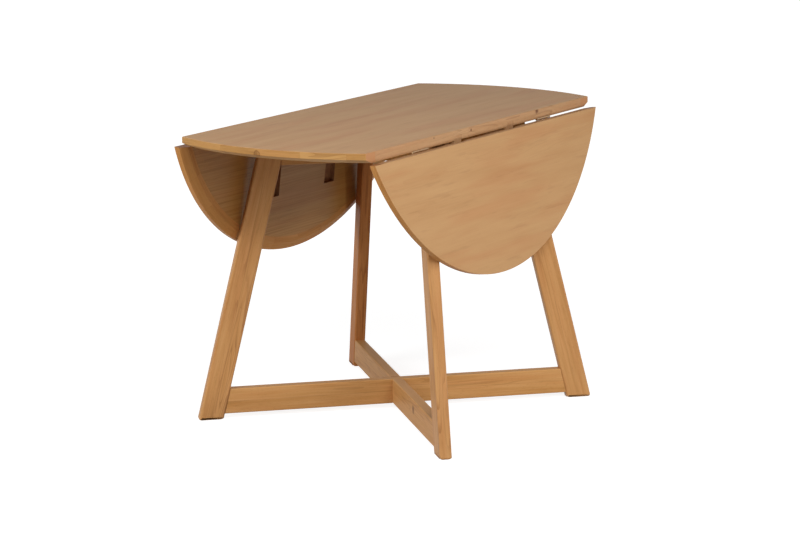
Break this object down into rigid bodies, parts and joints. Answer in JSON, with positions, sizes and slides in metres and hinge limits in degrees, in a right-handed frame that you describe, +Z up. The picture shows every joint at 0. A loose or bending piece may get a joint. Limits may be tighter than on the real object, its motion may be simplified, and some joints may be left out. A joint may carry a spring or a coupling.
{
  "type": "drop-leaf dining table",
  "caption": "Round drop-leaf dining table with a fixed centre panel, hinged segment leaves, splayed legs on crossed stretchers and pull-out leaf supports.",
  "frame": {"origin": "on the floor under the centre of the round top", "axes": "+X along the hinge lines towards the far curved end, +Y towards the left leaf, +Z up"},
  "size_m": [1.1998, 0.7552, 0.761],
  "materials": {
    "top_veneer": "satin clear lacquer over quarter-cut veneer",
    "board_core": "bare fibreboard",
    "backing_veneer": "matt clear lacquer over veneer",
    "solid_edge": "satin clear lacquer",
    "leg_wood": "satin clear lacquer",
    "stretcher_wood": "satin clear lacquer",
    "support_wood": "waxed",
    "dowel_wood": "bare, glued",
    "hinge_steel": "bright zinc plate",
    "screw_steel": "bright zinc plate"
  },
  "bodies": {
    "table_frame": {"panel_veneer": "top_veneer", "panel_core": "board_core", "panel_backing": "backing_veneer", "panel_rim_near": "solid_edge", "panel_rim_far": "solid_edge", "panel_lipping_left": "solid_edge", "panel_lipping_right": "solid_edge", "leg_near_left": "leg_wood", "leg_near_right": "leg_wood", "leg_far_left": "leg_wood", "leg_far_right": "leg_wood", "stretcher_over": "stretcher_wood", "stretcher_under": "stretcher_wood", "top_rail_over": "stretcher_wood", "top_rail_under": "stretcher_wood", "support_slide_near_left": "support_wood", "support_slide_near_right": "support_wood", "support_slide_far_left": "support_wood", "support_slide_far_right": "support_wood", "support_guide_near_left": "support_wood", "support_guide_near_right": "support_wood", "support_guide_far_left": "support_wood", "support_guide_far_right": "support_wood", "support_stop_pegs": "dowel_wood", "hinge_plate_panel_near_left": "hinge_steel", "hinge_plate_panel_near_right": "hinge_steel", "hinge_plate_panel_far_left": "hinge_steel", "hinge_plate_panel_far_right": "hinge_steel", "hinge_pin_near_left": "hinge_steel", "hinge_pin_near_right": "hinge_steel", "hinge_pin_far_left": "hinge_steel", "hinge_pin_far_right": "hinge_steel", "hinge_screws_panel": "screw_steel", "guide_screws": "screw_steel", "frame_screws": "screw_steel", "stretcher_dowels": "dowel_wood", "rail_dowels": "dowel_wood"},
    "left_leaf": {"left_leaf_veneer": "top_veneer", "left_leaf_core": "board_core", "left_leaf_backing": "backing_veneer", "left_leaf_rim": "solid_edge", "left_leaf_lipping": "solid_edge", "hinge_plate_leaf_near_left": "hinge_steel", "hinge_plate_leaf_far_left": "hinge_steel", "hinge_screws_left_leaf": "screw_steel"},
    "right_leaf": {"right_leaf_veneer": "top_veneer", "right_leaf_core": "board_core", "right_leaf_backing": "backing_veneer", "right_leaf_rim": "solid_edge", "right_leaf_lipping": "solid_edge", "hinge_plate_leaf_near_right": "hinge_steel", "hinge_plate_leaf_far_right": "hinge_steel", "hinge_screws_right_leaf": "screw_steel"}
  },
  "joints": [
    {"name": "left_leaf_hinge", "type": "hinge", "parent": "table_frame", "child": "left_leaf", "pos_m": [0, 0.2625, 0.7345], "axis": [1, 0, 0], "range_deg": [0, 83.18]},
    {"name": "right_leaf_hinge", "type": "hinge", "parent": "table_frame", "child": "right_leaf", "pos_m": [0, -0.2625, 0.7345], "axis": [-1, 0, 0], "range_deg": [0, 83.18]}
  ]
}
